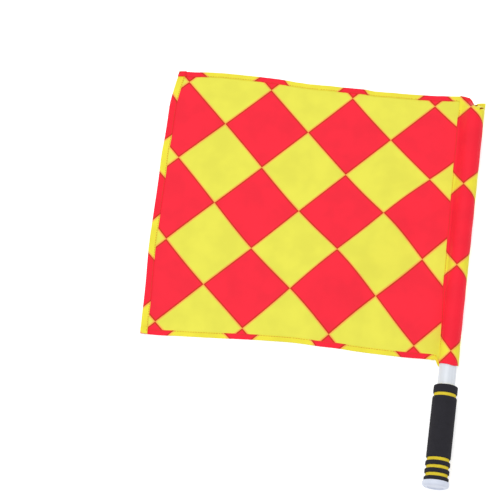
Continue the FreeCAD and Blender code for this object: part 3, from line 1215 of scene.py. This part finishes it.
@dataclass
class Sleeve:
    """The cloth from under the seam, round the pole and back to the seam, where its edge is turned under.

    It is sewn flat past the pole's tip, and its mouth and its end are turned in.
    """

    plane: ClothPlane
    line: PoleLine
    cloth: Cloth
    clearance: float = 0.4 * MM
    corner: float = 4.3 * MM
    flange: float = 3.5 * MM
    turned_under: float = 3.0 * MM
    turned_in: float = 5.0 * MM
    far_side: tuple[tuple[float, float], ...] = ((0, 12.1), (0.12, 11.3), (0.35, 10.95), (1, 10.95))
    edge: tuple[tuple[float, float], ...] = ((0, -0.6), (28, -0.6), (90, -2.8), (290, -2.8), (327, -1.0))
    mouth: tuple[tuple[float, float], ...] = (
        (0, -5), (1, -2.5), (2, -2.4), (3, -5.2), (3.25, -7.5), (3.5, -6.4), (4, -3.6), (5, 0.3), (6, 1.2))
    end: tuple[tuple[float, float], ...] = (
        (-18.8, 327.6), (-14, 327.1), (-7.7, 326), (-4.8, 323), (-1.7, 318.4), (-0.1, 317.5), (2, 319.7),
        (5.5, 321.0), (12, 321.5))
    row_step: float = 2.5 * MM
    rise_share: float = 0.55
    closing_rows: int = 16
    arc_points: int = 5
    closed_height: float = 1.3 * MM
    closed_flare: float = 1.3 * MM
    gather: float = 0.45 * MM
    gathers: float = 3.5
    inner_rows: int = 6
    wrinkle: float = 0.22 * MM
    wrinkle_length: float = 34 * MM
    wrinkle_slant: float = 0.8
    print_column: float = 396 * MM
    crossing: float = 154.8 * MM
    crossing_run: float = 299 * MM
    crossing_turns: tuple[float, float, float] = (86.6, 62.4, -25.3)
    print_middle: float = 170 * MM
    print_lag: tuple[float, float] = (4.2 * MM, 3.6 * MM)
    near_print: float = 14.2 * MM
    drop_lag: float = 0.33
    steps: tuple[int, ...] = (12, 6, 4, 26, 6, 4, 4, 3)

    def __post_init__(self) -> None:
        """Take the pole's and the old sleeve's sizes from the frame."""
        _, tube_radius, _ = self.line.ring_of("pole_tube")
        self.layer = self.cloth.layer
        self.radius = tube_radius + self.clearance + self.layer
        self.axis_x = self.line.point.x
        self.tip = box_of("tip_plug")[1].y
        self.start = box_of("pole_sleeve")[0].y
        self.lowest_crossing = box_of("end_cap")[0].y + self.crossing
        self.threads = [Thread(Stretch.FLOOR, 0.0)]
        for stretch, steps in zip(STRETCHES, self.steps):
            self.threads += [Thread(stretch, share) for share in spread(0, 1, steps + 1)[1:]]

    def flange_at(self, y: float, reach: float) -> Vector:
        """Find a point of the flange's top layer, which lies on the cloth and its hems.

        Args:
            y: Place along the flag.
            reach: Distance from the flange's edge.

        Returns:
            Its place in the section.
        """
        v = self.plane.v_of(Vector((self.axis_x, y, 0)))
        x = self.plane.seam_x(y) + eased(self.edge, v / MM) * MM + reach
        cloth = self.cloth.waves.height(self.plane, x - self.plane.seam_x(y), v)
        nearest = min(v, self.plane.height - v)
        return Vector((x, cloth + self.cloth.stack(nearest, self.cloth.hem) + 3 * self.layer / 2))

    def bends(self, y: float) -> tuple[Vector, float, Vector, float, Vector]:
        """Work out the section's two circles, where they end and where the flange starts.

        Args:
            y: Place along the flag.

        Returns:
            Centre of the corner, angle where it and the pole's circle are left on the far side, centre of the
            pole, angle where its circle is left on the near side, and the flange's start.
        """
        share = (y - self.start) / (self.tip - self.start)
        far = self.axis_x + eased(self.far_side, share) * MM
        foot = Vector((far - self.corner, self.layer / 2 + self.corner))
        pole = Vector((self.axis_x, self.line.height(y)))
        rise = pole - foot
        far_turn = math.atan2(rise.y, rise.x) - math.acos((self.corner - self.radius) / rise.length)
        flange_start = self.flange_at(y, self.flange)
        fall = flange_start - pole
        near_turn = math.atan2(fall.y, fall.x) % FULL_TURN - math.acos(self.radius / fall.length)
        return foot, far_turn, pole, near_turn, flange_start

    @staticmethod
    def round(centre: Vector, radius: float, turn: float) -> Vector:
        """Find a point on a circle of the section."""
        return centre + radius * Vector((math.cos(turn), math.sin(turn)))

    def open_point(self, thread: Thread, y: float) -> tuple[Vector, float, float]:
        """Lay one point of the section round the pole.

        Args:
            thread: Line along the sleeve.
            y: Place along the flag.

        Returns:
            Its place in the section, the direction its outer face looks in, and its distance along the cloth.
        """
        foot, far_turn, pole, near_turn, flange_start = self.bends(y)
        fold = self.layer / 2
        floor_start = Vector((self.plane.seam_x(y) + self.cloth.tuck, fold))
        edge = self.flange_at(y, fold)
        far_low, far_high = self.round(foot, self.corner, far_turn), self.round(pole, self.radius, far_turn)
        near = self.round(pole, self.radius, near_turn)
        lengths = {
            Stretch.FLOOR: foot.x - floor_start.x, Stretch.CORNER: self.corner * (far_turn + QUARTER),
            Stretch.WALL: (far_high - far_low).length, Stretch.TOP: self.radius * (near_turn - far_turn),
            Stretch.SLOPE: (flange_start - near).length, Stretch.FLANGE: flange_start.x - edge.x,
            Stretch.EDGE: HALF_TURN * fold, Stretch.UNDER: self.turned_under,
        }
        share, stretch = thread.share, thread.stretch
        arc = share * lengths[stretch] + sum(lengths[one] for one in STRETCHES[:STRETCHES.index(stretch)])
        if stretch is Stretch.FLOOR:
            v = self.plane.v_of(Vector((floor_start.x, y, 0)))
            rise = self.cloth.waves.seam_height(v) * max(1 - share / self.rise_share, 0.0) ** 2
            return floor_start.lerp(Vector((foot.x, fold)), share) + Vector((0, rise)), -QUARTER, arc
        if stretch is Stretch.CORNER:
            turn = mix(-QUARTER, far_turn, share)
            return self.round(foot, self.corner, turn), turn, arc
        if stretch is Stretch.WALL:
            return far_low.lerp(far_high, share), far_turn, arc
        if stretch is Stretch.TOP:
            turn = mix(far_turn, near_turn, share)
            return self.round(pole, self.radius, turn), turn, arc
        if stretch is Stretch.SLOPE:
            return near.lerp(flange_start, share), near_turn, arc
        if stretch is Stretch.FLANGE:
            return flange_start.lerp(edge, share), QUARTER, arc
        bend = edge - Vector((0, fold))
        if stretch is Stretch.EDGE:
            turn = QUARTER + HALF_TURN * share
            return self.round(bend, fold, turn), turn, arc
        return self.round(bend, fold, -QUARTER) + Vector((share * self.turned_under, 0)), -QUARTER, arc

    def closed_point(self, thread: Thread) -> tuple[Vector, float]:
        """Lay one point of the section where the sleeve is sewn flat.

        Args:
            thread: Line along the sleeve.

        Returns:
            Its place in the section and the direction its outer face looks in.
        """
        spot, turn, arc = self.open_point(thread, self.tip)
        foot, *_, flange_start = self.bends(self.tip)
        low, high = self.layer / 2, self.closed_height + self.layer
        bend = Vector((foot.x + self.corner + self.closed_flare, (low + high) / 2))
        if thread.stretch is Stretch.CORNER:
            rounded = mix(-QUARTER, QUARTER, thread.share)
            middle = Vector((mix(foot.x, bend.x - (high - low) / 2, thread.share), bend.y))
            return self.round(middle, (high - low) / 2, rounded), rounded
        if thread.stretch in OVER_THE_POLE:
            first = self.open_point(Thread(Stretch.CORNER, 1.0), self.tip)[2]
            last = self.open_point(Thread(Stretch.SLOPE, 1.0), self.tip)[2]
            share = (arc - first) / (last - first)
            rumple = self.gather * math.sin(FULL_TURN * self.gathers * share) * math.sin(HALF_TURN * share)
            height = mix(high, flange_start.y, smoothstep(share)) + rumple
            return Vector((mix(bend.x - (high - low) / 2, flange_start.x, share), height)), QUARTER
        return spot, turn

    def printed(self, thread: Thread, y: float) -> tuple[float, float]:
        """Find a point's place on the printed cloth, where the sleeve is round.

        Args:
            thread: Line along the sleeve.
            y: Place along the flag.

        Returns:
            The place on the print.
        """
        _, far_turn, pole, _, _ = self.bends(y)
        spot, _, arc = self.open_point(thread, y)
        top_start = self.open_point(Thread(Stretch.WALL, 1.0), y)[2]
        run = (y - self.lowest_crossing) / self.crossing_run
        turn = math.radians(sum(degrees * run ** power for power, degrees in enumerate(self.crossing_turns)))
        crossing = self.round(pole, self.radius, turn)
        column = top_start + self.radius * (turn - far_turn)
        print_u = self.print_column + arc - column
        v = self.plane.v_of(Vector((spot.x, y, 0)))
        bow = (v + self.cloth.print_origin[1]) / self.print_middle - 1
        lag = self.print_lag[0] + self.print_lag[1] * bow * bow
        if thread.stretch is Stretch.FLOOR:
            corner_start = self.open_point(Thread(Stretch.FLOOR, 1.0), y)[2]
            first = self.cloth.print_origin[0] + self.cloth.tuck
            print_u = mix(first, self.print_column + corner_start - column, thread.share)
            lag *= smoothstep(thread.share)
        elif arc > column:
            edge = self.flange_at(y, 0)
            share = min((crossing.x - spot.x) / (crossing.x - edge.x), 1.0)
            past = max(arc - self.open_point(Thread(Stretch.FLANGE, 1.0), y)[2], 0.0)
            print_u = self.print_column + self.near_print * share + past
            lag -= self.drop_lag * (crossing.y - spot.y)
        return print_u, self.cloth.print_origin[1] + v + lag

    def column(self, thread: Thread) -> list[tuple[Vector, tuple[float, float]]]:
        """Lay one line of points from inside the mouth, along the sleeve and into its end.

        Args:
            thread: Line along the sleeve.

        Returns:
            Places in the room, each with its place on the printed cloth.
        """
        fold = self.layer / 2
        spot, *_ = self.open_point(thread, self.start)
        mouth = self.plane.y_at(spot.x, drawn(self.mouth, thread.place) * MM)
        flat, flat_turn = self.closed_point(thread)
        edge_v = float(np.interp((flat.x - self.axis_x) / MM, *zip(*self.end))) * MM
        end = self.plane.y_at(flat.x, edge_v)
        points = []
        body = round((self.tip - self.start) / self.row_step)
        inner = [(mouth + reach, 1.0) for reach in spread(self.turned_in, fold, 3)[:-1]]
        bend = [(mouth + fold * (1 - math.sin(HALF_TURN * share)), (1 - math.cos(HALF_TURN * share)) / 2)
                for share in spread(1, 0, self.arc_points)]
        outer = [(y, 0.0) for y in spread(mouth + fold, self.tip, body)[1:]]
        for y, depth in inner + bend + outer:
            spot, turn, arc = self.open_point(thread, y)
            slid = y + self.wrinkle_slant * arc
            loose = thread.stretch in OVER_THE_POLE
            wave = math.sin(FULL_TURN * slid / self.wrinkle_length) + 1 if loose else 0.0
            spot = self.round(spot, self.wrinkle * wave / 2 - depth * self.layer, turn)
            points.append((Vector((spot.x, y, spot.y)), self.printed(thread, y)))
        round_spot, round_turn, _ = self.open_point(thread, self.tip)
        tip_ink = points[-1][1]
        shares = [(share, 0.0) for share in spread(0, 1 - fold / (end - self.tip), self.closing_rows)[1:]]
        shares += [(1 - fold * (1 - math.sin(HALF_TURN * share)) / (end - self.tip),
                    (1 - math.cos(HALF_TURN * share)) / 2) for share in spread(0, 1, self.arc_points)[1:]]
        shares += [(1 - self.turned_in * reach / (end - self.tip), 1.0) for reach in (1 / 4, 1 / 2)]
        for share, depth in shares:
            drop = smoothstep(share)
            turn = mix(round_turn, flat_turn, drop)
            spot = self.round(round_spot.lerp(flat, drop), -depth * self.layer, turn)
            point = Vector((spot.x, mix(self.tip, end, share), spot.y))
            run = point.y - self.tip - self.drop_lag * (round_spot.y - spot.y)
            points.append((point, (tip_ink[0], tip_ink[1] + run)))
        return points

    def build(self) -> tuple[bpy.types.Object, list[list[Vector]]]:
        """Build the sleeve.

        Returns:
            The new piece, and its points line by line.
        """
        laid = [self.column(thread) for thread in self.threads]
        piece = grid_cloth("sleeve_cloth", len(laid), len(laid[0]), lambda i, j: laid[i][j][0],
                           lambda i, j: laid[i][j][1], lambda i, j: False, self.cloth.thickness)
        finish_piece(piece, "sleeve_cloth", Slot.CLOTH, TAFFETA_STACK)
        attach(piece, Body.SLEEVE.value)
        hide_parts("pole_sleeve")
        return piece, [[point for point, _ in line] for line in laid]


# Thread


@dataclass
class Stitching:
    """Lockstitch rows and bar tacks: the thread shows as short bars that dip into the cloth at both ends."""

    cloth: Cloth
    sleeve: Sleeve
    pitch: float = 3.0 * MM
    bar: float = 2.3 * MM
    thread: float = 0.4 * MM
    sides: int = 6
    end_share: float = 0.2
    dip_share: float = 0.6
    taper: float = 0.5
    proud: float = 0.1 * MM
    strand_share: float = 0.8
    seam_inset: float = 0.8 * MM
    row_margin: float = 1.5 * MM
    seam_margin: float = 4.5 * MM
    end_inset: float = 1.8 * MM
    # Bar tacks near the sleeve's sewn end. Their dark brown also carries the painted shade of the small open
    # gap there.
    tacks: tuple[tuple[tuple[float, float], tuple[float, float]], ...] = (
        ((-0.6, 315.8), (2.2, 315.8)), ((4.6, 305.2), (9.0, 308.8)))
    tack_strands: int = 8
    tack_lengths: int = 4

    def stitch(self) -> bpy.types.Object:
        """Model one bar of thread along +X, a unit long, with its ends bent down.

        Returns:
            The bar at the origin.
        """
        bpy.ops.object.select_all(action="DESELECT")
        middle = 1 - 2 * self.end_share
        bpy.ops.mesh.primitive_cylinder_add(
            vertices=self.sides, radius=self.thread / 2, depth=middle, rotation=(0, QUARTER, 0))
        piece = bpy.context.active_object
        bpy.ops.object.transform_apply(location=False, rotation=True, scale=True)
        for side in (-1, 1):
            select_parts(piece, "FACE", lambda face, side=side: face.normal.x * side > 1 / 2)
            fall = -self.thread * self.dip_share
            bpy.ops.mesh.extrude_region_move(
                TRANSFORM_OT_translate={"value": (side * self.end_share, 0, fall)})
            bpy.ops.transform.resize(
                value=(1, self.taper, self.taper), center_override=(side / 2, 0, fall))
            bpy.ops.object.mode_set(mode="OBJECT")
        return piece

    def seat(self, start: Vector, end: Vector) -> Matrix:
        """Stretch the unit stitch from one point to another, with its back up.

        Args:
            start: One point.
            end: The other.

        Returns:
            The stitch's matrix.
        """
        along = (end - start).normalized()
        side = Vector((0, 0, 1)).cross(along).normalized()
        back = along.cross(side)
        turn = Matrix((along * (end - start).length, side, back)).transposed().to_4x4()
        return Matrix.Translation((start + end) / 2 + back * self.proud) @ turn

    def walk(self, line: Sequence[Vector]) -> list[tuple[Vector, Vector]]:
        """Find where the stitches of a row start and end.

        Args:
            line: Points along the row, in the middle of the cloth that is sewn.

        Returns:
            Both ends of each stitch, on top of that cloth.
        """
        reach = np.concatenate(([0.0], np.cumsum([(b - a).length for a, b in zip(line, line[1:])])))
        count = max(1, int(reach[-1] / self.pitch))
        slack = (reach[-1] - count * self.pitch) / 2
        lift = Vector((0, 0, self.cloth.thickness / 2))

        def at(distance: float) -> Vector:
            """Read the line at a distance from its start."""
            return lift + Vector([float(np.interp(distance, reach, axis)) for axis in zip(*line)])

        middles = [slack + self.pitch * (index + 1 / 2) for index in range(count)]
        return [(at(middle - self.bar / 2), at(middle + self.bar / 2)) for middle in middles]

    def sew(
        self, name: str, seats: Sequence[tuple[Vector, Vector]], slot: Slot, finish: Finish
    ) -> bpy.types.Object:
        """Copy the stitch to all its places and join the copies.

        Args:
            name: The piece's name.
            seats: Both ends of each stitch.
            slot: Material slot of the record.
            finish: What the thread is made of.

        Returns:
            One piece.
        """
        model = self.stitch()
        copies = []
        for start, end in seats:
            copy = bpy.data.objects.new(name, model.data.copy())
            copy.data.transform(self.seat(start, end))
            bpy.context.scene.collection.objects.link(copy)
            copies.append(copy)
        bpy.data.objects.remove(model)
        bpy.ops.object.select_all(action="DESELECT")
        for copy in copies:
            copy.select_set(True)
        bpy.context.view_layer.objects.active = copies[0]
        bpy.ops.object.join()
        return finish_piece(copies[0], name, slot, finish)

    def hem_line(self, first: float, last: float, from_top: bool) -> list[Vector]:
        """Find the stitch line of the top or bottom hem.

        Args:
            first: Place across the cloth where it starts.
            last: Place where it ends.
            from_top: Whether it is the top hem's.

        Returns:
            Points along the line.
        """
        reach = self.cloth.hem.width - self.cloth.hem.stitch_inset
        lay = Lay(reach, HALF_TURN, -reach)
        width, count = self.cloth.plane.width, max(2, round(abs(last - first) / self.bar))
        columns = [Lay(u + width, 0, u + width) for u in spread(first, last, count)]
        return [self.cloth.point(column, (lay, from_top))[0] for column in columns]

    def fly_line(self) -> list[Vector]:
        """Find the stitch line of the fly hem, which the top hem covers at one end.

        Returns:
            Points along the line.
        """
        reach = self.cloth.fly_hem.width - self.cloth.fly_hem.stitch_inset
        lay = Lay(reach, HALF_TURN, -reach)
        last = self.cloth.plane.height - self.cloth.hem.width
        rows = spread(self.row_margin, last, round(last / self.bar))
        return [self.cloth.point(lay, (Lay(v, 0, v), False))[0] for v in rows]

    def seam_line(self) -> list[Vector]:
        """Find the stitch line of the seam, on the sleeve's flange.

        Returns:
            Points along the line.
        """
        low, high = self.sleeve.start + self.seam_margin, self.sleeve.tip + self.seam_margin
        rows = spread(low, high, round((high - low) / self.bar))
        spots = [self.sleeve.flange_at(y, self.seam_inset) for y in rows]
        return [Vector((spot.x, y, spot.y)) for spot, y in zip(spots, rows)]

    def build(
        self, sleeve_cloth: bpy.types.Object, laid: Sequence[Sequence[Vector]]
    ) -> dict[str, bpy.types.Object]:
        """Sew the rows and the tacks.

        Args:
            sleeve_cloth: The sleeve.
            laid: Its points, line by line.

        Returns:
            The new pieces by name.
        """
        fly_fold = -self.cloth.plane.width
        first, second = self.cloth.meets
        spans = {
            Body.HOIST: (-self.cloth.tuck, first, first), Body.MIDDLE: (first, second, second),
            Body.FLY: (second, fly_fold + self.cloth.fly_hem.width, fly_fold + self.row_margin),
        }
        made = {}
        for body, (right, bottom_left, top_left) in spans.items():
            seats = [seat for left, from_top in ((bottom_left, False), (top_left, True))
                     for seat in self.walk(self.hem_line(right, left, from_top))]
            nodes = [f"{body.value}_top_thread", f"{body.value}_bottom_thread"]
            if body is Body.FLY:
                seats += self.walk(self.fly_line())
                nodes.append("fly_edge_thread")
            piece = self.sew(f"{body.value}_stitches", seats, Slot.THREAD, HEM_THREAD_AND_EDGE_SHADE)
            self.cloth.follow(piece, body)
            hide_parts(*nodes)
            made[body.value] = piece
        made["seam"] = self.on_sleeve(
            "seam_stitches", self.walk(self.seam_line()), "sleeve_seam_thread", Slot.THREAD, HEM_THREAD_AND_EDGE_SHADE)
        sewn = [self.back_from_end(line, self.end_inset)
                for thread, line in zip(self.sleeve.threads, laid) if thread.stretch in OVER_THE_POLE]
        made["end"] = self.on_sleeve(
            "sleeve_end_stitches", self.walk(sewn), "sleeve_top_thread", Slot.THREAD, HEM_THREAD_AND_EDGE_SHADE)
        seats = [seat for tack in self.tacks for seat in self.tack(sleeve_cloth, *tack)]
        made["tacks"] = self.on_sleeve("sleeve_bar_tacks", seats, "sleeve_tacks", Slot.TACK, TACK_THREAD_AND_GAP_SHADE)
        return made

    def back_from_end(self, line: Sequence[Vector], inset: float) -> Vector:
        """Find the point of a line on the sleeve that is a distance short of its end.

        Args:
            line: Points along the sleeve.
            inset: The distance.

        Returns:
            The point.
        """
        end = max(point.y for point in line)
        outer = line[:-self.sleeve.inner_rows]
        return min(outer, key=lambda point: abs(end - inset - point.y))

    def tack(
        self, sleeve_cloth: bpy.types.Object, first: tuple[float, float], last: tuple[float, float]
    ) -> list[tuple[Vector, Vector]]:
        """Lay a bar tack's close strands on the sleeve.

        Args:
            sleeve_cloth: The sleeve.
            first: Its start, in millimetres from the pole's line and up the cloth.
            last: Its end.

        Returns:
            Both ends of each short length of strand.
        """
        seats = []
        for strand in range(self.tack_strands):
            spots = []
            for share in spread(0, 1, self.tack_lengths + 1):
                x = self.sleeve.axis_x + mix(first[0], last[0], share) * MM
                y = self.sleeve.plane.y_at(x, mix(first[1], last[1], share) * MM)
                y += strand * self.thread * self.strand_share
                found, spot, *_ = sleeve_cloth.ray_cast(Vector((x, y, 1)), Vector((0, 0, -1)))
                if found:
                    spots.append(spot + Vector((0, 0, self.thread / 2)))
            seats += zip(spots, spots[1:])
        return seats

    def on_sleeve(
        self, name: str, seats: Sequence[tuple[Vector, Vector]], node: str, slot: Slot, finish: Finish
    ) -> bpy.types.Object:
        """Sew a row that moves with the sleeve.

        Args:
            name: The piece's name.
            seats: Both ends of each stitch.
            node: Name of the CAD node that it stands for.
            slot: Material slot of the record.
            finish: What the thread is made of.

        Returns:
            The new piece.
        """
        piece = self.sew(name, seats, slot, finish)
        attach(piece, Body.SLEEVE.value)
        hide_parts(node)
        return piece


# Room, lights and camera


def put_in_room(data: bpy.types.ID, place: Vector, turn: Matrix) -> bpy.types.Object:
    """Add a camera or a lamp to the scene.

    Args:
        data: The camera or lamp.
        place: Where it stands.
        turn: Its right, up and back directions as columns.

    Returns:
        Its object.
    """
    made = bpy.data.objects.new(data.name, data)
    bpy.context.scene.collection.objects.link(made)
    made.matrix_world = Matrix.Translation(place) @ turn.to_4x4()
    return made


@dataclass(frozen=True)
class Camera:
    """The photograph's camera, fitted to the cloth's checks and the pole."""

    position: Vector = Vector((95.68 * MM, -617.8 * MM, 1986.2 * MM))
    right: Vector = Vector((0.98988, 0.13629, -0.03957))
    back: Vector = Vector((0.07975, -0.30355, 0.94947))
    lens: float = 129.6
    sensor: float = 36.0

    def build(self) -> None:
        """Add the camera and make it the scene's own."""
        data = bpy.data.cameras.new("camera")
        data.lens, data.sensor_width = self.lens, self.sensor
        turn = Matrix((self.right, self.back.cross(self.right), self.back)).transposed()
        bpy.context.scene.camera = put_in_room(data, self.position, turn)


@dataclass(frozen=True)
class Lamp:
    """A soft square lamp that looks at the flag's middle."""

    name: str
    place: Vector
    size: float
    power: float

    def build(self) -> None:
        """Add the lamp."""
        data = bpy.data.lights.new(self.name, "AREA")
        data.size, data.energy = self.size, self.power
        put_in_room(data, self.place, self.place.to_track_quat("Z", "Y").to_matrix())


@dataclass(frozen=True)
class Studio:
    """A white floor under soft light from all sides."""

    floor_size: float = 12.0
    floor_white: str = "FDFDFD"
    floor_glow: float = 0.45
    sky_strength: float = 0.66
    lamps: tuple[Lamp, ...] = (
        Lamp("lamp_over", Vector((-0.5, 0.4, 2.4)), 1.6, 19.5),
        Lamp("lamp_right", Vector((1.6, -0.6, 1.8)), 1.0, 2.5),
        Lamp("lamp_left", Vector((-1.8, -0.5, 1.5)), 1.0, 3),
    )

    def build(self) -> None:
        """Add the floor, the sky and the lamps."""
        bpy.ops.object.select_all(action="DESELECT")
        bpy.ops.mesh.primitive_plane_add(size=self.floor_size)
        floor = bpy.context.active_object
        floor.name = "floor"
        paint = bpy.data.materials.new("white_paper")
        paint.use_nodes = True
        shader = paint.node_tree.nodes["Principled BSDF"]
        shader.inputs["Base Color"].default_value = linear(self.floor_white)
        shader.inputs["Emission Color"].default_value = (1, 1, 1, 1)
        shader.inputs["Roughness"].default_value = 1.0
        rays = add_node(paint, "ShaderNodeLightPath", {}).outputs
        seen = add_node(paint, "ShaderNodeMath", {0: rays["Is Camera Ray"], 1: rays["Is Glossy Ray"]})
        glow = add_node(paint, "ShaderNodeMath", {0: seen.outputs["Value"], 1: self.floor_glow},
                        operation="MULTIPLY")
        paint.node_tree.links.new(glow.outputs["Value"], shader.inputs["Emission Strength"])
        floor.data.materials.append(paint)
        world = bpy.data.worlds.new("studio")
        world.use_nodes = True
        sky = world.node_tree.nodes["Background"]
        sky.inputs["Color"].default_value = (1, 1, 1, 1)
        sky.inputs["Strength"].default_value = self.sky_strength
        bpy.context.scene.world = world
        for lamp in self.lamps:
            lamp.build()
        bpy.context.scene.view_settings.view_transform = "Standard"


def main() -> None:
    """Build the flag and its room."""
    logging.basicConfig(level=logging.INFO, format="%(name)s %(message)s")
    Camera().build()
    Studio().build()
    plane = ClothPlane.from_frame()
    line = PoleLine.from_frame()
    LOG.info("cloth %.4f by %.4f, hem %.4f, foot %s", plane.width, plane.height, plane.hem, plane.foot[:])
    Pole().build()
    Grip(line).build()
    cloth = Cloth(plane)
    sleeve = Sleeve(plane, line, cloth)
    sheets = cloth.build()
    sleeve_cloth, laid = sleeve.build()
    sewn = Stitching(cloth, sleeve).build(sleeve_cloth, laid)
    for index, (sheet, body) in enumerate(zip(sheets, CLOTH_BODIES[1:])):
        cloth.cut(index)


if __name__ == "__main__":
    main()
